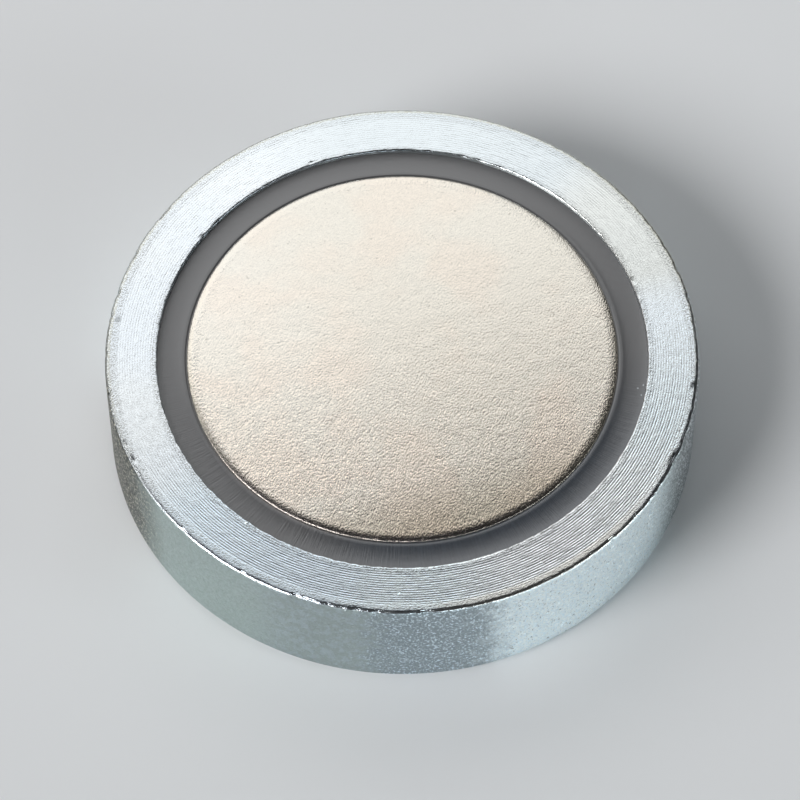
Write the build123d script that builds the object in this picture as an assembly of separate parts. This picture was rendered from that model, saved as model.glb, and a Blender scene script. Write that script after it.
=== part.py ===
"""Flat pot magnet: a turned steel cup, a sintered magnet disc seated on its floor, and the
resin that is cast into the ring between them.  Millimetres.  The origin is the middle of the
flat back, and +Z points out of the cup to the side that holds.
"""
from build123d import *
import os

# Steel cup, turned from bar and zinc plated.
cup_diameter = 32.0
cup_height = 7.0
wall_thickness = 2.8
floor_thickness = 2.0
rim_bevel = 0.15             # corner of the rim and the outside wall
back_chamfer = 0.35          # corner of the back and the outside wall
mouth_break = 0.08           # sharp corner taken off the mouth of the pocket
pocket_corner_bevel = 0.3    # left by the bevelled tip of the boring tool

# Magnet disc, sintered, tumbled to round its edges and nickel plated.
magnet_recess = 0.10         # face of the disc below the rim, so that the rim lands first
magnet_edge_radius = 0.4

# Cast resin ring.  It wets both walls, so its top is a shallow trough.
resin_width = 1.6            # gap from the disc to the pocket wall
resin_drop = 0.22            # height of the rim above the line where the resin meets the walls
meniscus_sag = 0.13          # depth of the trough below that line
toe_reach = 0.20             # how far the resin creeps in under the rounded edge of the disc

# Densities for the printed weight, in grams per cubic millimetre.
steel_density = 7.85e-3
magnet_density = 7.50e-3
resin_density = 1.60e-3

# Worked out from the sizes above.
cup_radius = cup_diameter / 2
pocket_radius = cup_radius - wall_thickness
magnet_radius = pocket_radius - resin_width
magnet_face = cup_height - magnet_recess
magnet_thickness = magnet_face - floor_thickness


def section(*outline):
    """Half section in the XZ plane, from (radius, height) corners or curves."""
    return Plane.XZ * make_face(Curve() + list(outline))


def corner(face, radius, height):
    """The corner of a half section at this radius and height."""
    return face.vertices().sort_by_distance(Vector(radius, 0, height))[0]


def turned(face):
    """The solid that a half section sweeps round the axis."""
    return revolve(face, Axis.Z).solid()


def cup_section():
    """Floor and wall in one turning, with its three edges broken and the pocket's corner bevelled."""
    face = section(
        Polyline(
            (0, 0),
            (cup_radius, 0),
            (cup_radius, cup_height),
            (pocket_radius, cup_height),
            (pocket_radius, floor_thickness),
            (0, floor_thickness),
            close=True,
        )
    )
    face = chamfer(corner(face, cup_radius, 0), back_chamfer)
    face = chamfer(corner(face, cup_radius, cup_height), rim_bevel)
    face = chamfer(corner(face, pocket_radius, cup_height), mouth_break)
    return chamfer(corner(face, pocket_radius, floor_thickness), pocket_corner_bevel)


def magnet_section():
    """A plain disc standing on the cup's floor, rounded top and bottom."""
    face = section(
        Polyline(
            (0, floor_thickness),
            (magnet_radius, floor_thickness),
            (magnet_radius, magnet_face),
            (0, magnet_face),
            close=True,
        )
    )
    face = fillet(corner(face, magnet_radius, floor_thickness), magnet_edge_radius)
    return fillet(corner(face, magnet_radius, magnet_face), magnet_edge_radius)


def resin_section():
    """What the casting fills: out to the pocket wall and its bevelled corner, in against the
    disc and a little way under its rounded edge, and up to the trough of the meniscus.
    """
    toe_radius = magnet_radius - toe_reach
    wetting_line = cup_height - resin_drop
    wall_top = (pocket_radius, wetting_line)
    trough = ((pocket_radius + toe_radius) / 2, wetting_line - meniscus_sag)
    inner_top = (toe_radius, wetting_line)
    face = section(
        Line((toe_radius, floor_thickness), (pocket_radius, floor_thickness)),
        Line((pocket_radius, floor_thickness), wall_top),
        ThreePointArc(wall_top, trough, inner_top),
        Line(inner_top, (toe_radius, floor_thickness)),
    )
    face = chamfer(corner(face, pocket_radius, floor_thickness), pocket_corner_bevel)
    return face - magnet_section()


sub_parts = {
    "steel_cup": (turned(cup_section()), steel_density),
    "magnet_disc": (turned(magnet_section()), magnet_density),
    "resin_ring": (turned(resin_section()), resin_density),
}

os.makedirs("parts", exist_ok=True)
total_weight = 0.0
for name, (solid, density) in sub_parts.items():
    export_step(solid, f"parts/{name}.step")
    weight = solid.volume * density
    total_weight += weight
    print(f"{name}: {solid.volume:.1f} mm3, {weight:.2f} g")
print(f"whole magnet: {total_weight:.1f} g")
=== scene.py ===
"""Looks of a flat pot magnet, 32 mm across: a turned steel cup with zinc on it, a nickel-plated
magnet disc in its open face, and the resin cast between them.
"""
import math

import bpy
from mathutils import Matrix, Vector, noise


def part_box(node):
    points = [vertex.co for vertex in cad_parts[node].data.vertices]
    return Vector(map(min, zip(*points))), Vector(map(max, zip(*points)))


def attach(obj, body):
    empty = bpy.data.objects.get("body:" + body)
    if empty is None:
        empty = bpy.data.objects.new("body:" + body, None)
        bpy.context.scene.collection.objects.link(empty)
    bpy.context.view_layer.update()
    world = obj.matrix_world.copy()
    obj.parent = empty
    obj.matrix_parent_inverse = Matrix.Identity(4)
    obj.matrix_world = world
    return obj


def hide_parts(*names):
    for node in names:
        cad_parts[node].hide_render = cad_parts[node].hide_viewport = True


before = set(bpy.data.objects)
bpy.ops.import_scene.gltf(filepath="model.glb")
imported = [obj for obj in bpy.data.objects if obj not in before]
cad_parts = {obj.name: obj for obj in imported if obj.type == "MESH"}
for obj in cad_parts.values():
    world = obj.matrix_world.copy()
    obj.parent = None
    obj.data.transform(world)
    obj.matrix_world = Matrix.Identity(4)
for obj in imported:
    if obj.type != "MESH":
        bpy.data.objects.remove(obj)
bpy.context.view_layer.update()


# Camera: a long lens that looks down on the face from in front, so that the round face shows as
# an oval with the near side of the cup below it.
mm = 0.001
cup_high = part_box("steel_cup")[1]
cup_radius = cup_high.x
rim_height = cup_high.z

camera_elevation = math.radians(58.63)
camera_roll = math.radians(-0.14)
camera_distance = 236.2 * mm
camera_lens = 197.6
aim_right = -0.13 * mm
aim_up = -2.47 * mm
aim_below_rim = 0.15 * mm

tilt = Matrix.Rotation(math.pi / 2 - camera_elevation, 3, "X")
camera_turn = tilt @ Matrix.Rotation(camera_roll, 3, "Z")
aim_point = Vector((0, 0, rim_height - aim_below_rim))
aim_point += camera_turn @ Vector((aim_right, aim_up, 0))
bpy.ops.object.camera_add(
    location=aim_point + camera_turn @ Vector((0, 0, camera_distance)),
    rotation=camera_turn.to_euler(),
)
camera = bpy.context.object
camera.data.lens = camera_lens
camera.data.sensor_width = 36
camera.data.clip_start = 1 * mm
camera.data.clip_end = 20
bpy.context.scene.camera = camera
bpy.context.scene.view_settings.view_transform = "Standard"


# Steel cup: floor and wall are one turned piece.  The facing tool left fine grooves round the
# rim, a plain band was left at the outer corner, and zinc was plated over everything.
disc_low, disc_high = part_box("magnet_disc")
resin_low, resin_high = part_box("resin_ring")
pocket_radius = resin_high.x
pocket_floor = disc_low.z

skin = 0.006 * mm
side = cup_radius - skin
top = rim_height - skin
corner_round = 0.19 * mm
back_chamfer = 0.35 * mm
mouth_round = 0.08 * mm


def turn_piece(name, outline, segments, merge_within=0.0005 * mm, sharp_from=math.radians(40)):
    """Turns an outline of (radius, height) points round the axis.  One point of a circle is
    extruded along the outline, and that is spun.  The outline starts and ends on the axis, or
    closes on itself, so the doubles that merge leave a closed piece.
    """
    bpy.ops.object.select_all(action="DESELECT")
    bpy.ops.mesh.primitive_circle_add(vertices=3, radius=mm, location=(0, 0, 0))
    piece = bpy.context.object
    piece.name = name
    piece.data.name = name
    bpy.ops.object.mode_set(mode="EDIT")
    bpy.ops.mesh.select_mode(type="VERT")
    bpy.ops.mesh.select_all(action="SELECT")
    bpy.ops.mesh.merge(type="CENTER")
    bpy.ops.transform.translate(value=(outline[0][0], 0, outline[0][1]))
    for before, after in zip(outline, outline[1:]):
        step = (after[0] - before[0], 0, after[1] - before[1])
        bpy.ops.mesh.extrude_vertices_move(TRANSFORM_OT_translate={"value": step})
    bpy.ops.mesh.select_all(action="SELECT")
    bpy.ops.mesh.spin(steps=segments, angle=2 * math.pi, center=(0, 0, 0), axis=(0, 0, 1))
    bpy.ops.mesh.select_all(action="SELECT")
    bpy.ops.mesh.remove_doubles(threshold=merge_within)
    bpy.ops.mesh.select_all(action="SELECT")
    bpy.ops.mesh.normals_make_consistent(inside=False)
    bpy.ops.object.mode_set(mode="OBJECT")
    bpy.ops.object.shade_smooth_by_angle(angle=sharp_from)
    return piece


def rounded(centre, radius, start, end, steps):
    """Points of an arc in the half section, from start to end degrees."""
    points = []
    for i in range(steps + 1):
        angle = math.radians(start + (end - start) * i / steps)
        across = centre[0] + radius * math.cos(angle)
        points.append((across, centre[1] + radius * math.sin(angle)))
    return points


# The half section starts in the middle of the back.  Extra rings on the back and the wall keep
# the faces short.  The chamfer's corners are worn, each given as (distance in from the side,
# height), and a short flat leads into and out of the round of the outer corner.
back_rings = (0, 1, 4, 8, 12, 14.5)
wall_rings = (0.2, 0.35, 0.5, 0.65, 0.8, 0.9)
worn_chamfer = (
    (back_chamfer + 0.05 * mm, 0),
    (back_chamfer - 0.02 * mm, 0.015 * mm),
    (0.03 * mm, back_chamfer - 0.04 * mm),
    (0, back_chamfer + 0.03 * mm),
)
corner_lead_in = 0.06 * mm
corner_lead_out = 0.07 * mm
tool_feed = 0.137 * mm
grooves_inner_radius = 13.34 * mm
groove_count = 17
groove_profile = (0, 1.0, 0.82, 0.50, 0.20)
pocket_ring = 6 * mm
cup_segments = 640

cup_outline = [(radius * mm, 0) for radius in back_rings]
cup_outline += [(side - inset, height) for inset, height in worn_chamfer]
cup_outline += [(side, share * rim_height) for share in wall_rings]
cup_outline += [(side, top - corner_round - corner_lead_in)]
cup_outline += rounded((side - corner_round, top - corner_round), corner_round, 0, 90, 9)
cup_outline += [(side - corner_round - corner_lead_out, top)]
for groove in reversed(range(groove_count)):
    for step in reversed(range(len(groove_profile))):
        row = groove + step / len(groove_profile)
        cup_outline.append((grooves_inner_radius + row * tool_feed, top))
cup_outline += rounded((pocket_radius + mouth_round, top - mouth_round), mouth_round, 90, 180, 5)
cup_outline += [(pocket_radius, resin_high.z), (pocket_radius, pocket_floor)]
cup_outline += [(pocket_ring, pocket_floor), (0, pocket_floor)]
cup = turn_piece("cup_with_grooved_rim", cup_outline, cup_segments)


def wavy(x, y, z):
    """A smooth wave between about -1 and 1 that never repeats."""
    return noise.noise(Vector((x, y, z)))


def broken(angle, row, length):
    """A wave along a turned line, of this length, that differs from row to row."""
    reach = cup_radius / length
    return wavy(reach * math.cos(angle), reach * math.sin(angle), row)


def towards(angle, direction):
    """1 where an angle points in a direction in degrees, and 0 from square to it onwards."""
    return max(0, math.cos(angle - math.radians(direction)))


# How the tool cut: deeper on the left and right, less deep in two directions, each given as
# (degrees, how much less, how narrow), and deep and shallow by turns as it chattered.  The plain
# band at the corner is up to band_bulge grooves wider in one direction.
groove_depth = 0.0031 * mm
deeper_at_sides = 1.05
shallower = ((10, 0.35, 6), (125, 0.3, 2))
chatter_length = 0.5 * mm
chatter_strength = 1.4
chatter_least, chatter_most = 0.2, 1.6
rows_apart = 9
band_bulge = 1.8
band_bulges_at = math.radians(-150)
rounding_slack = 1e-6


def cut_groove(place, radius, angle):
    """Sinks a point of the flat rim into its groove, which is steep on its inner side."""
    row = (radius - grooves_inner_radius) / tool_feed
    if not 0 <= row <= groove_count:
        return
    groove = math.floor(row + rounding_slack)
    points = len(groove_profile)
    hollow = groove_profile[round(points * (row - groove)) % points]
    deeper = 1 + deeper_at_sides * abs(math.cos(angle))
    for direction, less, narrow in shallower:
        deeper *= 1 - less * towards(angle, direction) ** narrow
    chatter = 1 + chatter_strength * broken(angle, rows_apart * groove, chatter_length)
    chatter = min(chatter_most, max(chatter_least, chatter))
    bulge = band_bulge * (0.5 + 0.5 * math.cos(angle - band_bulges_at)) ** 3
    fade = min(1, max(0, groove_count - bulge - row))
    place.z -= groove_depth * deeper * hollow * chatter * fade


wear_depth = 0.045 * mm
less_wear_behind = 0.7


def batter_corner(place, angle):
    """Wears a point of the outer corner in and down: long hollows, and small and large chips."""
    hollows = 0.5 * max(0, 0.2 + broken(angle, 3.0, 1.4 * mm))
    small_chips = 1.2 * max(0, broken(angle, 8.0, 0.26 * mm))
    large_chips = 2.88 * max(0, broken(angle, 14.0, 0.45 * mm) - 0.22)
    worn = wear_depth * (hollows + small_chips + large_chips)
    worn *= 1 - less_wear_behind * max(0, math.sin(angle))
    place.x -= worn * math.cos(angle)
    place.y -= worn * math.sin(angle)
    place.z -= 0.5 * worn


mouth_sinks = 0.028 * mm
mouth_strays = 0.042 * mm


def rag_mouth(place, angle):
    """Lets a point of the mouth sink and stray, as the tool left it where it broke the edge."""
    sunk = 0.2 + broken(angle, 21.0, 0.9 * mm) + broken(angle, 5.0, 0.3 * mm)
    place.z -= mouth_sinks * max(0, sunk)
    stray = mouth_strays * broken(angle, 33.0, 0.32 * mm)
    place.x += stray * math.cos(angle)
    place.y += stray * math.sin(angle)


# Only points near the top are moved, and which way depends on where on the rim they stand.
rim_depth = 0.5 * mm
slack = 0.01 * mm
flat_within = 0.001 * mm
mouth_reach = mouth_round + 0.02 * mm
corner_reach = corner_round - 0.005 * mm
for vertex in cup.data.vertices:
    place = vertex.co
    radius = math.hypot(place.x, place.y)
    angle = math.atan2(place.y, place.x)
    if place.z > top - rim_depth and radius > pocket_radius - slack:
        if place.z > top - flat_within:
            cut_groove(place, radius, angle)
        if radius > side - corner_reach:
            batter_corner(place, angle)
        if radius < pocket_radius + mouth_reach and place.z > top - mouth_reach:
            rag_mouth(place, angle)


def nick(piece, azimuth, radius, height, size, depth, length):
    """A dent: points within size of the place sink along the surface's inward normal.  A length
    above 1 draws the dent out round the axis.
    """
    a = math.radians(azimuth)
    centre = Vector((radius * math.cos(a), radius * math.sin(a), height))
    along = Vector((-math.sin(a), math.cos(a), 0))
    reached = []
    for vertex in piece.data.vertices:
        apart = vertex.co - centre
        apart -= along * along.dot(apart) * (1 - 1 / length)
        if apart.length < size:
            reached.append((vertex, vertex.normal.copy(), 1 - apart.length / size))
    for vertex, outward, share in reached:
        vertex.co -= outward * depth * share * share * (3 - 2 * share)


# Dents in the corner and in the mouth: azimuth in degrees, radius, how far below the rim, size
# and depth in mm, and how many times longer than wide.
for azimuth, radius, below, size, depth, length in (
    (13, 15.88, 0.05, 0.20, 0.043, 1.0),
    (7, 15.92, 0.05, 0.18, 0.037, 1.0),
    (-8, 15.78, 0.05, 0.30, 0.056, 1.0),
    (-25, 15.85, 0.05, 0.30, 0.050, 3.0),
    (-99, 15.88, 0.05, 0.22, 0.037, 2.0),
    (-118, 15.90, 0.05, 0.20, 0.031, 1.0),
    (-155, 15.74, 0, 0.18, 0.055, 1.8),
    (-159, 15.77, 0, 0.16, 0.055, 1.0),
    (145.6, 13.27, 0, 0.22, 0.043, 1.0),
    (112, 13.36, 0, 0.17, 0.031, 1.0),
    (20, 13.32, 0, 0.19, 0.037, 1.0),
    (16, 13.25, 0, 0.17, 0.037, 1.0),
):
    height = rim_height - below * mm
    nick(cup, azimuth, radius * mm, height, size * mm, depth * mm, length)
cup.data.update()


def new_material(name, colour, metallic, roughness):
    """A material with one Principled shader.  Returns the material and that shader."""
    material = bpy.data.materials.new(name)
    material.use_nodes = True
    shader = material.node_tree.nodes["Principled BSDF"]
    shader.inputs["Base Color"].default_value = (*colour, 1)
    shader.inputs["Metallic"].default_value = metallic
    shader.inputs["Roughness"].default_value = roughness
    return material, shader


def node(material, kind, inputs=None, **settings):
    """Adds a node.  Each input is a value, or a socket that is linked to it."""
    made = material.node_tree.nodes.new("ShaderNode" + kind)
    for name, value in settings.items():
        setattr(made, name, value)
    for name, value in (inputs or {}).items():
        if isinstance(value, bpy.types.NodeSocket):
            material.node_tree.links.new(value, made.inputs[name])
        else:
            made.inputs[name].default_value = value
    return made


def link(material, socket, shader, name):
    material.node_tree.links.new(socket, shader.inputs[name])


def calculate(material, operation, first, second):
    """A Math node's result."""
    return node(material, "Math", {0: first, 1: second}, operation=operation).outputs[0]


def times(material, first, second):
    """The product of two numbers."""
    return calculate(material, "MULTIPLY", first, second)


def between(material, value, low, high, at_low=0.0, at_high=1.0):
    """Carries a value from the range low to high smoothly over to at_low to at_high."""
    return node(
        material,
        "MapRange",
        {"Value": value, "From Min": low, "From Max": high, "To Min": at_low, "To Max": at_high},
        interpolation_type="SMOOTHSTEP",
    ).outputs[0]


def vectors(material, operation, first, second=(0, 0, 0)):
    """A Vector Math node on two vectors.  It has the outputs "Vector" and "Value"."""
    return node(material, "VectorMath", {0: first, 1: second}, operation=operation).outputs


def scaled(material, vector, factor):
    """A point or a colour times a number."""
    return node(material, "VectorMath", {0: vector, "Scale": factor}, operation="SCALE").outputs[0]


def object_point(material):
    return node(material, "TexCoord").outputs["Object"]


def flat_point(material):
    """Object coordinates without the height."""
    return vectors(material, "MULTIPLY", object_point(material), (1, 1, 0))["Vector"]


def radius_at(material):
    """The distance from the axis."""
    return vectors(material, "LENGTH", flat_point(material))["Value"]


def outward_direction(material):
    """The direction away from the axis, of length one."""
    return vectors(material, "NORMALIZE", flat_point(material))["Vector"]


def turned_point(material, along, across):
    """Object coordinates wrapped round the axis, so that a pattern follows the lathe: a spot of
    it is as long as along round the axis, and as wide as across.
    """
    wrapped = scaled(material, outward_direction(material), cup_radius / along)
    height = node(material, "SeparateXYZ", {0: object_point(material)}).outputs[2]
    depth = calculate(material, "ADD", radius_at(material), height)
    depth = calculate(material, "DIVIDE", depth, across)
    lifted = node(material, "CombineXYZ", {2: depth}).outputs[0]
    return vectors(material, "ADD", wrapped, lifted)["Vector"]


def cloud(material, size, detail=2.0, roughness=0.5, point=None):
    """A Noise texture's value, in spots of about this size, on Object coordinates unless another
    point is given.
    """
    inputs = {"Scale": 1 / size, "Detail": detail, "Roughness": roughness}
    inputs["Vector"] = object_point(material) if point is None else point
    return node(material, "TexNoise", inputs).outputs[0]


def cells(material, size, point=None):
    """A Voronoi texture's outputs, in cells of about this size."""
    inputs = {"Scale": 1 / size, "Randomness": 1.0}
    inputs["Vector"] = object_point(material) if point is None else point
    return node(material, "TexVoronoi", inputs).outputs


def bump(material, height, depth, below=None):
    """A bump of this depth in metres, on top of another bump's normal."""
    inputs = {"Height": height, "Distance": depth, "Strength": 1.0}
    if below is not None:
        inputs["Normal"] = below
    return node(material, "Bump", inputs).outputs[0]


def blend_colours(material, factor, first, second):
    """Mixes two colours by a factor.  Each colour is a value or a socket."""
    made = node(material, "Mix", {0: factor}, data_type="RGBA")
    for socket, colour in ((made.inputs[6], first), (made.inputs[7], second)):
        if isinstance(colour, bpy.types.NodeSocket):
            material.node_tree.links.new(colour, socket)
        else:
            socket.default_value = (*colour, 1)
    return made.outputs[2]


def facing_zone(material, azimuth, reach, uneven=0.0, full_within=0.35):
    """A mask that is 1 in this direction from the axis and fades to 0 at reach degrees from it."""
    a = math.radians(azimuth)
    middle = (math.cos(a), math.sin(a), 0)
    nearness = vectors(material, "DOT_PRODUCT", outward_direction(material), middle)["Value"]
    nearness = calculate(material, "ADD", nearness, uneven)
    edge = math.cos(math.radians(reach))
    return between(material, nearness, edge, math.cos(math.radians(full_within * reach)))


def scratch(material, start, end, width):
    """A mask of a straight scratch between two places, each an (azimuth, radius) on the rim."""
    ends = []
    for azimuth, radius in (start, end):
        a = math.radians(azimuth)
        ends.append(Vector((radius * math.cos(a), radius * math.sin(a), rim_height)))
    along = ends[1] - ends[0]
    inputs = {
        "Vector": object_point(material),
        "Location": (ends[0] + ends[1]) / 2,
        "Rotation": Matrix.Rotation(math.atan2(along.y, along.x), 3, "Z").to_euler(),
        "Scale": (along.length / 2, width / 2, mm),
    }
    laid = node(material, "Mapping", inputs, vector_type="TEXTURE").outputs[0]
    return between(material, vectors(material, "LENGTH", laid)["Value"], 0.5, 1.0, 1.0, 0.0)


def short_mark(material, azimuth, radius, length, width):
    """A mask of a short mark that lies round the axis."""
    half = math.degrees(length / 2 / radius)
    return scratch(material, (azimuth - half, radius), (azimuth + half, radius), width)


# Rim finish: bright zinc over the grooves, with a granular margin along the mouth and along the
# corner, and a few scratches, each from (azimuth, radius in mm) to another, its width and depth.
rim_zinc, rim_shader = new_material("zinc_on_turned_rim", (0.81, 0.85, 0.87), 1.0, 0.22)
rim_radius = radius_at(rim_zinc)
chatter_point = turned_point(rim_zinc, 0.8 * mm, 0.055 * mm)
chatter_marks = cloud(rim_zinc, 1.0, 3.0, 0.65, chatter_point)
grains = cloud(rim_zinc, 0.075 * mm, 2.0, 0.65)
inner_margin = between(rim_zinc, rim_radius, 13.35 * mm, 13.7 * mm, 1.0, 0.0)
outer_margin = between(rim_zinc, rim_radius, 15.2 * mm, 15.6 * mm)
margins = calculate(rim_zinc, "ADD", inner_margin, outer_margin)
granular = times(rim_zinc, grains, calculate(rim_zinc, "ADD", margins, 0.5))
rim_surface = bump(rim_zinc, chatter_marks, 0.0034 * mm)
rim_surface = bump(rim_zinc, granular, 0.009 * mm, rim_surface)
for start, end, width, depth in (
    ((-91.6, 14.93), (-90.3, 14.57), 0.09, 0.020),
    ((-121.8, 13.55), (-123.4, 13.95), 0.09, 0.018),
    ((-108.9, 13.50), (-109.6, 14.20), 0.08, 0.014),
    ((-60.0, 15.0), (-61.2, 14.6), 0.08, 0.012),
    ((-127.5, 13.25), (-128.6, 13.36), 0.12, 0.020),
):
    ends = [(azimuth, radius * mm) for azimuth, radius in (start, end)]
    mark = scratch(rim_zinc, *ends, width * mm)
    rim_surface = bump(rim_zinc, mark, depth * mm, rim_surface)
link(rim_zinc, rim_surface, rim_shader, "Normal")

# Random patches make the zinc a little bluer or greyer.  Round the rim it is also painted
# brighter, darker, bluer or greyer by direction, as painted light and shade: azimuth, reach and
# colour.
patches = between(rim_zinc, cloud(rim_zinc, 9 * mm, 1.0), 0.42, 0.62)
rim_colour = blend_colours(rim_zinc, patches, (0.80, 0.85, 0.89), (0.815, 0.85, 0.865))
for azimuth, reach, painted_tint in (
    (76, 50, (0.72, 0.77, 0.79)),
    (30, 26, (0.77, 0.79, 0.765)),
    (-2, 24, (0.87, 0.93, 0.97)),
    (-68, 82, (0.88, 0.97, 1.0)),
    (-50, 34, (0.96, 0.99, 1.0)),
    (-122, 30, (0.77, 0.865, 0.93)),
):
    rim_colour = blend_colours(rim_zinc, facing_zone(rim_zinc, azimuth, reach), rim_colour, painted_tint)

# Painted shade in the rim's nicks and chips: dark spots where the dents lie in shade, each at an
# azimuth, then radius, length and width in mm.
pit_shade_colour = (0.05, 0.055, 0.06)
for azimuth, radius, length, width in (
    (112.0, 13.46, 0.16, 0.11),
    (-155.2, 15.70, 0.34, 0.10),
    (-158.8, 15.72, 0.22, 0.12),
    (-151.8, 15.76, 0.30, 0.06),
    (-171.5, 15.74, 0.14, 0.08),
    (-105.4, 15.66, 0.20, 0.09),
    (7.0, 15.74, 0.20, 0.12),
    (-24.0, 15.72, 0.50, 0.11),
):
    pit_shade = short_mark(rim_zinc, azimuth, radius * mm, length * mm, width * mm)
    rim_colour = blend_colours(rim_zinc, times(rim_zinc, pit_shade, 0.85), rim_colour, pit_shade_colour)
smudge = scratch(rim_zinc, (171.0, 15.45 * mm), (173.0, 15.6 * mm), 0.42 * mm)
smudge = times(rim_zinc, smudge, 0.6)
rim_colour = blend_colours(rim_zinc, smudge, rim_colour, (0.28, 0.30, 0.31))

# Dull specks lie between the grains, more of them in the margins and fewer behind.
dusty = between(rim_zinc, grains, 0.50, 0.62)
dust_share = calculate(rim_zinc, "ADD", times(rim_zinc, margins, 0.45), 0.24)
less_behind = calculate(rim_zinc, "SUBTRACT", 1.06, facing_zone(rim_zinc, 95, 70))
dusty = times(rim_zinc, dusty, times(rim_zinc, dust_share, less_behind))
rim_colour = blend_colours(rim_zinc, dusty, rim_colour, (0.44, 0.45, 0.43))

# The zinc is thin on the lip of the corner and a little yellow inside it on one side.  The mouth
# is painted darker on two sides, as painted shade.
lip = between(rim_zinc, rim_radius, 15.66 * mm, 15.78 * mm)
lip = times(rim_zinc, lip, between(rim_zinc, grains, 0.42, 0.56, 0.25, 0.75))
near_lip = facing_zone(rim_zinc, -80, 110)
lip_tint = blend_colours(rim_zinc, near_lip, (0.56, 0.555, 0.47), (0.46, 0.49, 0.55))
rim_colour = blend_colours(rim_zinc, lip, rim_colour, lip_tint)
yellowed = between(rim_zinc, rim_radius, 15.3 * mm, 15.6 * mm, 0.0, 0.65)
yellowed = times(rim_zinc, yellowed, facing_zone(rim_zinc, -60, 28))
rim_colour = blend_colours(rim_zinc, yellowed, rim_colour, (0.90, 0.875, 0.80))
mouth = between(rim_zinc, rim_radius, 13.29 * mm, 13.24 * mm, 0.0, 0.8)
# Painted shade in the mouth: azimuth, reach and the dark colour.
for azimuth, reach, mouth_shade in ((-14, 62, (0.40, 0.38, 0.37)), (122, 60, (0.16, 0.18, 0.21))):
    painted_shading_mask = times(rim_zinc, mouth, facing_zone(rim_zinc, azimuth, reach))
    rim_colour = blend_colours(rim_zinc, painted_shading_mask, rim_colour, mouth_shade)
link(rim_zinc, rim_colour, rim_shader, "Base Color")


def crystals(material, size, share, tilt):
    """Zinc crystals: flat facets of this size.  A share of them stands tilted, at random, by up
    to about half of tilt.  Returns the height in metres.
    """
    point = object_point(material)
    facet = cells(material, size, point)
    lean = vectors(material, "SUBTRACT", facet["Color"], (0.5, 0.5, 0.5))["Vector"]
    off_centre = vectors(material, "SUBTRACT", point, facet["Position"])["Vector"]
    slope = vectors(material, "DOT_PRODUCT", lean, off_centre)["Value"]
    pick = node(material, "TexWhiteNoise", {"Vector": facet["Position"]}, noise_dimensions="3D")
    standing = calculate(material, "LESS_THAN", pick.outputs[0], share)
    return times(material, times(material, slope, standing), tilt)


# Side finish: the same zinc on the rolled bar, satin and speckled with crystals.  The crystals'
# height is in metres already, so their bump has a depth of 1.
side_zinc, side_shader = new_material("zinc_on_side", (0.50, 0.57, 0.59), 1.0, 0.46)
bloom = cloud(side_zinc, 0.09 * mm, 3.0, 0.6)
side_surface = bump(side_zinc, bloom, 0.012 * mm)
side_surface = bump(side_zinc, crystals(side_zinc, 0.11 * mm, 0.35, 0.9), 1.0, side_surface)
link(side_zinc, side_surface, side_shader, "Normal")
tarnish = between(side_zinc, cloud(side_zinc, 7 * mm), 0.35, 0.65)
side_colour = blend_colours(side_zinc, tarnish, (0.485, 0.565, 0.55), (0.495, 0.575, 0.59))
grain_of_side = cloud(side_zinc, 0.13 * mm, 4.0, 0.7)
grain_tone = between(side_zinc, grain_of_side, 0.3, 0.7, 0.80, 1.20)
side_colour = scaled(side_zinc, side_colour, grain_tone)

# Painted light and shade on the wall: zones are painted brighter or darker where the light and its
# reflections fall, each a ground of one colour with specks of another: azimuth and reach in
# degrees, the two colours, how rare the specks are, and their size in mm.  The zone at -56 is a
# smooth, pale painted highlight, those at -169, -84 and -4 are painted dark reflection and shade
# with coarse, bright specks, and those at -96 and -137 are painted shade.
painted_light_strength = 0.95
ragged = cloud(side_zinc, 0.9 * mm, 6.0, 0.75)
ragged = between(side_zinc, ragged, 0.25, 0.75, -0.012, 0.012)
for azimuth, reach, painted_ground, painted_specks, rarity, size in (
    (-96, 30, (0.385, 0.445, 0.445), (0.44, 0.51, 0.535), 0.50, 0.45),
    (-137, 24, (0.42, 0.50, 0.48), (0.48, 0.56, 0.55), 0.50, 0.20),
    (-56, 38, (0.91, 0.99, 1.0), (0.78, 0.91, 0.98), 0.50, 0.13),
    (-169, 28, (0.055, 0.058, 0.050), (0.88, 0.84, 0.69), 0.58, 0.15),
    (-84, 16, (0.30, 0.355, 0.385), (0.76, 0.87, 0.95), 0.56, 0.14),
    (-4, 30, (0.145, 0.165, 0.175), (0.84, 0.88, 0.91), 0.53, 0.15),
):
    speck = cloud(side_zinc, size * mm, 3.0, 0.7)
    painted_shading_mask = times(side_zinc, facing_zone(side_zinc, azimuth, reach, ragged), painted_light_strength)
    speck = between(side_zinc, speck, rarity - 0.04, rarity + 0.06)
    painted_light_colour = blend_colours(side_zinc, speck, painted_ground, painted_specks)
    side_colour = blend_colours(side_zinc, painted_shading_mask, side_colour, painted_light_colour)
pin_holes = between(side_zinc, cloud(side_zinc, 0.15 * mm), 0.365, 0.30)
pin_holes = times(side_zinc, pin_holes, facing_zone(side_zinc, -52, 40))
side_colour = blend_colours(side_zinc, pin_holes, side_colour, (0.36, 0.40, 0.41))
frost = cloud(side_zinc, 0.105 * mm, 3.0, 0.75)
side_colour = scaled(side_zinc, side_colour, between(side_zinc, frost, 0.3, 0.7, 0.92, 1.08))
link(side_zinc, side_colour, side_shader, "Base Color")

# Back and pocket finish: plain turned faces under zinc.
back_zinc, back_shader = new_material("zinc_on_back", (0.74, 0.79, 0.80), 1.0, 0.34)
facing_marks = cloud(back_zinc, 1.0, 3.0, 0.6, turned_point(back_zinc, 6 * mm, 0.16 * mm))
back_surface = bump(back_zinc, facing_marks, 0.012 * mm)
back_bloom = cloud(back_zinc, 0.09 * mm, 3.0, 0.6)
back_surface = bump(back_zinc, back_bloom, 0.005 * mm, back_surface)
link(back_zinc, back_surface, back_shader, "Normal")

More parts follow.
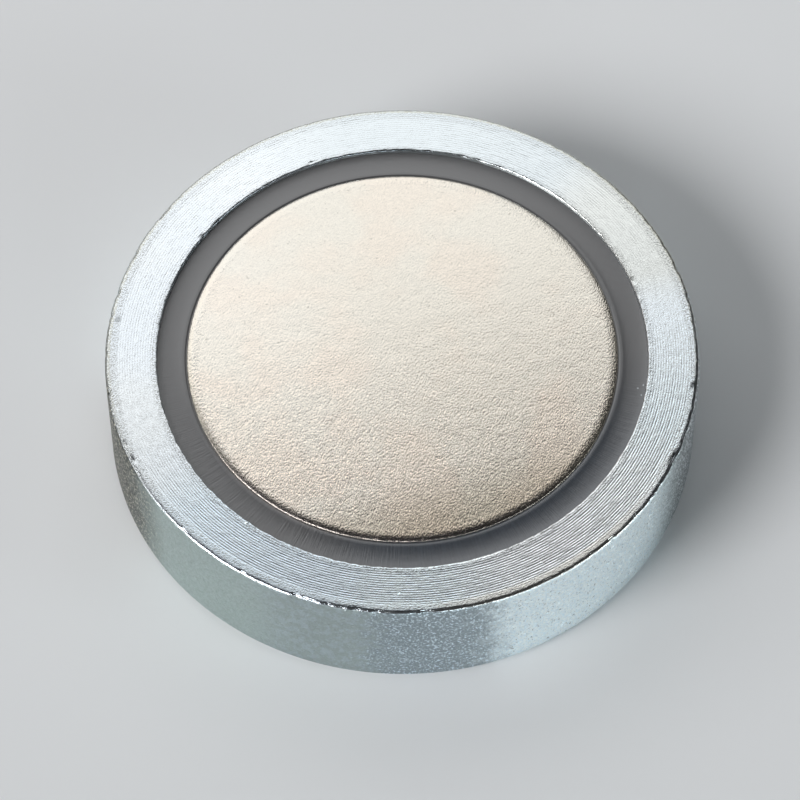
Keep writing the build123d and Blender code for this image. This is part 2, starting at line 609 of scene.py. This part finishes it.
# The rim's finish ends part of the way down each of its two rounds, and the back's finish takes
# in the pocket.
corner_share = 0.4
mouth_share = 1.1
middle_of_rim = 15 * mm
for finish in (rim_zinc, side_zinc, back_zinc):
    cup.data.materials.append(finish)
for face in cup.data.polygons:
    middle = face.center
    radius = math.hypot(middle.x, middle.y)
    at_corner = radius > middle_of_rim
    finish_depth = corner_share * corner_round if at_corner else mouth_share * mouth_round
    if middle.z > top - finish_depth and radius > pocket_radius - 0.05 * mm:
        face.material_index = 0
    elif radius > side - back_chamfer - 0.02 * mm:
        face.material_index = 1
    else:
        face.material_index = 2
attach(cup, "root")
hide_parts("steel_cup")


# Magnet disc: pressed and sintered, tumbled round at its edges, then plated with nickel whose
# top coat follows every grain and looks like fine orange peel.
disc_radius = disc_high.x
edge_round = 0.40 * mm
crown_width = 0.52 * mm
crown_drop = 0.115 * mm
crown_step = 6
under_rings = (0, 2, 6)
face_rings = 55
face_ring_step = 0.2 * mm
disc_segments = 480
swell_size = 0.55 * mm
swell_depth = 0.005 * mm

disc_outline = [(radius * mm, disc_low.z) for radius in under_rings]
edge_centre = (disc_radius - edge_round, disc_low.z + edge_round)
disc_outline += rounded(edge_centre, edge_round, -90, 0, 6)
for turn in range(0, 90 + 1, crown_step):
    inwards = crown_width * (1 - math.cos(math.radians(turn)))
    below = crown_drop * (1 - math.sin(math.radians(turn)))
    disc_outline.append((disc_radius - inwards, disc_high.z - below))
disc_outline += [(ring * face_ring_step, disc_high.z) for ring in range(face_rings, 0, -1)]
disc_outline += [(0, disc_high.z)]
disc = turn_piece("magnet_disc_nickel", disc_outline, disc_segments)

# The face isn't quite flat: it swells and sinks a little, as pressed powder does.
outwards = [vertex.normal.copy() for vertex in disc.data.vertices]
for vertex, outward in zip(disc.data.vertices, outwards):
    if vertex.co.z > disc_high.z - edge_round:
        place = vertex.co / swell_size
        swell = 0.5 + 0.5 * wavy(place.x, place.y, place.z)
        vertex.co -= outward * swell_depth * swell
disc.data.update()

# The grains are pebbles, narrower from side to side than from front to back.  They stand higher
# towards the front, the right and the edge.
nickel, nickel_shader = new_material("nickel_plate", (0.84, 0.79, 0.71), 1.0, 0.21)
along_x, along_y = node(nickel, "SeparateXYZ", {0: object_point(nickel)}).outputs[:2]
pressed = vectors(nickel, "MULTIPLY", object_point(nickel), (2.2, 1.0, 1.0))["Vector"]
pebbles = cells(nickel, 0.130 * mm, pressed)["Distance"]
domes = times(nickel, times(nickel, pebbles, pebbles), 0.8)
peel = calculate(nickel, "SUBTRACT", cloud(nickel, 0.118 * mm, 2.0, 0.6, pressed), domes)
at_edge = between(nickel, radius_at(nickel), 10.9 * mm, 11.25 * mm, 1.0, 2.4)
at_front = between(nickel, along_y, 10 * mm, -11 * mm, 0.72, 1.40)
at_right = between(nickel, along_x, -10 * mm, 9 * mm, 0.84, 1.02)
coarser = times(nickel, times(nickel, at_edge, at_front), at_right)
nickel_surface = bump(nickel, times(nickel, peel, coarser), 0.0058 * mm)
link(nickel, nickel_surface, nickel_shader, "Normal")

# Painted light and shade: the coat is brighter and more like straw towards the front, as the light
# falls across the face, and darker and browner along the very front, as shade.  It is also a
# little more silver at the left.
painted_front_light = between(nickel, along_y, 10 * mm, -11 * mm)
nickel_colour = blend_colours(nickel, painted_front_light, (0.755, 0.72, 0.645), (0.845, 0.78, 0.68))
silvery = vectors(nickel, "DOT_PRODUCT", object_point(nickel), (-0.87, -0.5, 0.0))["Value"]
silvery = between(nickel, silvery, -3 * mm, 9 * mm)
silvered = vectors(nickel, "MULTIPLY", nickel_colour, (1.05, 1.06, 1.08))["Vector"]
nickel_colour = blend_colours(nickel, silvery, nickel_colour, silvered)
painted_front_shade = vectors(nickel, "DOT_PRODUCT", object_point(nickel), (0.30, -0.954, 0.0))["Value"]
painted_front_shade = between(nickel, painted_front_shade, 6.8 * mm, 11.3 * mm)
nickel_colour = blend_colours(nickel, painted_front_shade, nickel_colour, (0.63, 0.565, 0.46))
flushed = between(nickel, cloud(nickel, 4.5 * mm), 0.40, 0.62)
warmed = vectors(nickel, "MULTIPLY", nickel_colour, (1.02, 0.985, 0.97))["Vector"]
nickel_colour = blend_colours(nickel, flushed, nickel_colour, warmed)

# Fine grain, a tone of its own for each grain towards the front, a few pits, and the edge painted
# darker at the front as painted shade.
fine = cloud(nickel, 0.12 * mm, 3.0, 0.7)
nickel_colour = scaled(nickel, nickel_colour, between(nickel, fine, 0.3, 0.7, 0.96, 1.03))
grain_tone = between(nickel, cells(nickel, 0.10 * mm)["Color"], 0.1, 0.9, 0.88, 1.10)
toned = scaled(nickel, nickel_colour, grain_tone)
nickel_colour = blend_colours(nickel, times(nickel, painted_front_light, painted_front_light), nickel_colour, toned)
pits = between(nickel, cloud(nickel, 0.17 * mm), 0.31, 0.26, 0.0, 0.5)
nickel_colour = blend_colours(nickel, pits, nickel_colour, (0.42, 0.38, 0.32))
disc_edge = between(nickel, radius_at(nickel), 11.22 * mm, 11.45 * mm)
disc_edge = times(nickel, disc_edge, painted_front_light)
# Painted shade: the disc's edge is darkened towards the front.
near_edge = facing_zone(nickel, -100, 75)
painted_edge_shade = blend_colours(nickel, near_edge, (0.80, 0.73, 0.61), (0.37, 0.335, 0.31))
nickel_colour = blend_colours(nickel, disc_edge, nickel_colour, painted_edge_shade)
link(nickel, nickel_colour, nickel_shader, "Base Color")
disc.data.materials.append(nickel)
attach(disc, "root")
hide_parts("magnet_disc")


# Resin ring: poured round the disc and cured.  It wets the steel and the nickel, so its top
# is a shallow trough that climbs at both edges, with a thin bead left beside the disc.
resin_bottom = resin_low.z + 0.02 * mm
resin_outer = pocket_radius - skin
pocket_corner = 0.3 * mm
resin_gap = 0.008 * mm
resin_segments = 480
trough_steps = 16
trough_depth = 0.06 * mm
trough_power = 2.3
bead_outside = disc_radius + 0.22 * mm
bead = (
    (0.18 * mm, 0.010 * mm),
    (0.14 * mm, skin),
    (0.10 * mm, 0.012 * mm),
    (0.07 * mm, 0.030 * mm),
    (0.04 * mm, 0.040 * mm),
    (resin_gap, 0.036 * mm),
)

# The bead's points are each given as (distance from the disc, depth below the resin's top).
resin_outline = [
    (disc_radius + resin_gap, resin_bottom),
    (pocket_radius - pocket_corner, resin_bottom),
    (resin_outer, resin_bottom + pocket_corner),
    (resin_outer, resin_high.z - skin),
]
for i in range(1, trough_steps + 1):
    share = i / trough_steps
    climb = abs(2 * share - 1) ** trough_power
    radius = resin_outer - (resin_outer - bead_outside) * share
    resin_outline.append((radius, resin_high.z - skin - trough_depth * (1 - climb)))
resin_outline += [(disc_radius + out, resin_high.z - below) for out, below in bead]
resin_outline += [resin_outline[0]]
resin = turn_piece("resin_ring_cast", resin_outline, resin_segments)

# The gloss is that of cured epoxy.  It shrank in fine radial streaks at the front.
potting, potting_shader = new_material("potting_resin", (0.056, 0.057, 0.062), 0.0, 0.33)
potting_shader.inputs["IOR"].default_value = 1.68
potting_shader.inputs["Specular IOR Level"].default_value = 1.0
streak_point = turned_point(potting, 0.10 * mm, 1.6 * mm)
streaks = cloud(potting, 1.0, 3.0, 0.6, streak_point)
streaks = times(potting, streaks, facing_zone(potting, -90, 110))
settled = cloud(potting, 0.35 * mm, 3.0, 0.6)
potting_surface = bump(potting, streaks, 0.018 * mm)
potting_surface = bump(potting, settled, 0.006 * mm, potting_surface)
link(potting, potting_surface, potting_shader, "Normal")

# Painted shade: the resin is darker and bluer towards the front right.
painted_bluer_shade = facing_zone(potting, -58, 62)
potting_colour = blend_colours(potting, painted_bluer_shade, (0.065, 0.065, 0.067), (0.033, 0.040, 0.050))
streak_tone = between(potting, streaks, 0.40, 0.62, 1.0, 1.30)
potting_colour = scaled(potting, potting_colour, streak_tone)
crumb_colour = (0.42, 0.46, 0.48)
for azimuth, radius, length, width in (
    (-9.5, 12.78, 0.13, 0.15),
    (-8.5, 13.05, 0.16, 0.10),
    (-11.3, 13.03, 0.13, 0.10),
):
    crumb = short_mark(potting, azimuth, radius * mm, length * mm, width * mm)
    crumb = times(potting, crumb, 0.8)
    potting_colour = blend_colours(potting, crumb, potting_colour, crumb_colour)
link(potting, potting_colour, potting_shader, "Base Color")
resin.data.materials.append(potting)
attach(resin, "root")
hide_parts("resin_ring")


# Floor: a plain pale table top, far larger than the part, that fades into the plain backdrop.
# It isn't part of the object.
floor_size = 6.0
fade_start = 0.16
fade_end = 0.75
backdrop = (0.60, 0.61, 0.62)
bpy.ops.object.select_all(action="DESELECT")
bpy.ops.mesh.primitive_plane_add(size=floor_size, location=(0, 0, 0))
floor = bpy.context.object
floor.name = "floor"
paper, paper_shader = new_material("floor_paper", (0.74, 0.75, 0.76), 0.0, 0.9)
glow = node(paper, "Emission", {"Color": (*backdrop, 1)}).outputs[0]
far_off = between(paper, radius_at(paper), fade_start, fade_end)
both = node(paper, "MixShader", {0: far_off, 1: paper_shader.outputs[0], 2: glow}).outputs[0]
link(paper, both, paper.node_tree.nodes["Material Output"], "Surface")
floor.data.materials.append(paper)


# Lights: one large soft box behind, whose reflection fills the flat faces as far as its upper
# edge, four strips for the corners and the disc's edge, a low soft box for the side, and a soft
# key lamp for the floor.
daylight = (0.98, 0.99, 1.0)
cool = (0.88, 0.97, 1.0)


def direction_of(azimuth, elevation):
    """A direction of length one.  Azimuth 0 is +X and 90 is +Y, in degrees."""
    a = math.radians(azimuth)
    e = math.radians(elevation)
    return Vector((math.cos(a) * math.cos(e), math.sin(a) * math.cos(e), math.sin(e)))


def soft_box(name, azimuth, elevation, distance, size, power, roll=0.0, colour=daylight):
    """An area light that faces the magnet."""
    away = direction_of(azimuth, elevation)
    turn = away.to_track_quat("Z", "Y").to_matrix() @ Matrix.Rotation(math.radians(roll), 3, "Z")
    place = Vector((0, 0, rim_height)) + away * distance
    bpy.ops.object.light_add(type="AREA", location=place, rotation=turn.to_euler())
    lamp = bpy.context.object
    lamp.name = name
    lamp.data.shape = "RECTANGLE"
    lamp.data.size = size[0]
    lamp.data.size_y = size[1]
    lamp.data.energy = power
    lamp.data.color = colour
    lamp.visible_camera = False


soft_box("back_soft_box", 107, 41.5, 0.20, (0.23, 0.158), 0.146, roll=2)
soft_box("left_strip", 200, 17, 0.30, (0.24, 0.10), 0.10)
soft_box("right_strip", -22, 9, 0.30, (0.08, 0.09), 0.165, colour=cool)
soft_box("front_strip", -72, 9, 0.30, (0.08, 0.09), 0.175, colour=cool)
soft_box("low_soft_box", -46, 16, 0.35, (0.34, 0.16), 0.10)
soft_box("upper_left_strip", 176, 35, 0.30, (0.24, 0.022), 0.085)

# The key lamp lights the floor from the left, out of the flat faces' sight.
key_direction = direction_of(215, 36)
key_turn = key_direction.to_track_quat("Z", "Y").to_euler()
bpy.ops.object.light_add(type="SUN", location=key_direction, rotation=key_turn)
key_lamp = bpy.context.object
key_lamp.name = "key_lamp"
key_lamp.data.energy = 2.3
key_lamp.data.angle = math.radians(28)
key_lamp.visible_camera = False

# The room is dim overhead and pale towards the horizon: (height of the direction, level).
world = bpy.data.worlds.new("studio")
bpy.context.scene.world = world
world.use_nodes = True
direction = node(world, "TexCoord").outputs["Generated"]
upwards = node(world, "SeparateXYZ", {0: direction}).outputs[2]
sky = node(world, "ValToRGB", {0: upwards})
for place, level in ((0.0, 0.62), (0.05, 0.55), (0.22, 0.09), (0.5, 0.03)):
    stop = sky.color_ramp.elements[0] if place == 0 else sky.color_ramp.elements.new(place)
    stop.position = place
    stop.color = (level * 0.98, level * 0.99, level, 1)
sky.color_ramp.elements.remove(sky.color_ramp.elements[-1])
link(world, sky.outputs[0], world.node_tree.nodes["Background"], "Color")
